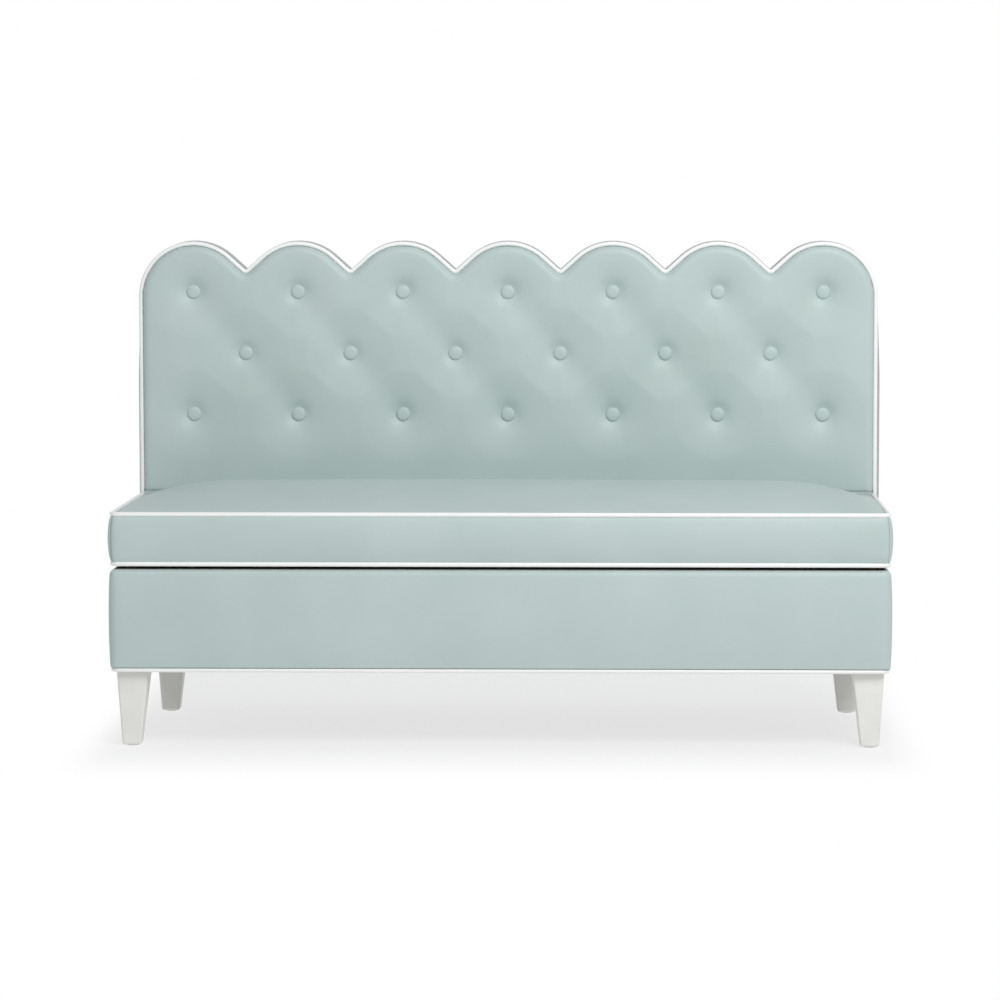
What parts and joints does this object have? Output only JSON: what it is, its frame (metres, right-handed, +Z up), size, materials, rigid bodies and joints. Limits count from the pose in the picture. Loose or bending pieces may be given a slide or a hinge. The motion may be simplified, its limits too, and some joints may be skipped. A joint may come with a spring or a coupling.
{
  "type": "dining banquette",
  "caption": "Straight upholstered dining banquette with a scalloped, buttoned back, white piping, tapered legs and a boxed seat that lifts as the hinged lid of a storage box.",
  "frame": {"origin": "on the floor, under the middle of the bench's length and depth", "axes": "+X along the bench to the sitter's left, +Y to the rear, +Z up"},
  "size_m": [1.524, 0.618, 0.974],
  "materials": {
    "white_legs": "satin",
    "aqua_vinyl": "satin",
    "white_vinyl": "satin",
    "edge_band_vinyl": "satin",
    "outside_back_vinyl": "satin",
    "plywood": "matte",
    "timber": "matte",
    "black_lining": "matte",
    "zinc_steel": "satin",
    "nylon": "matte",
    "black_rubber": "matte",
    "twine": "matte"
  },
  "bodies": {
    "base": {"leg_front_left": "white_legs", "leg_front_right": "white_legs", "leg_rear_left": "white_legs", "leg_rear_right": "white_legs", "front_cover": "aqua_vinyl", "left_cover": "aqua_vinyl", "right_cover": "aqua_vinyl", "back_pad": "aqua_vinyl", "buttons": "aqua_vinyl", "base_welt": "white_vinyl", "back_welt": "white_vinyl", "boxing_top": "edge_band_vinyl", "boxing_left": "edge_band_vinyl", "boxing_right": "edge_band_vinyl", "outside_back": "outside_back_vinyl", "floor_board": "plywood", "front_panel": "plywood", "left_panel": "plywood", "right_panel": "plywood", "rear_panel": "plywood", "back_board": "plywood", "corner_cleats": "timber", "post_left_outer": "timber", "post_left_inner": "timber", "post_right_inner": "timber", "post_right_outer": "timber", "top_rail": "timber", "hinge_rail": "timber", "dust_cover": "black_lining", "leg_bolts": "zinc_steel", "leg_tee_nuts": "zinc_steel", "post_bolts": "zinc_steel", "post_nuts": "zinc_steel", "hinge_fixed_leaves": "zinc_steel", "hinge_pins": "zinc_steel", "hinge_fixed_screws": "zinc_steel", "leg_glides": "nylon", "lid_bumpers": "black_rubber", "button_ties": "twine"},
    "seat_lid": {"lid_board": "plywood", "lid_rear_rail": "timber", "seat_cushion": "aqua_vinyl", "seat_upper_welt": "white_vinyl", "seat_lower_welt": "white_vinyl", "lid_lining": "black_lining", "lid_battens": "timber", "batten_screws": "zinc_steel", "hinge_lid_leaves": "zinc_steel", "hinge_lid_screws": "zinc_steel"}
  },
  "joints": [
    {"name": "lid_hinge", "type": "hinge", "parent": "base", "child": "seat_lid", "pos_m": [0, 0.206, 0.4545], "axis": [-1, 0, 0], "range_deg": [0, 70]}
  ]
}
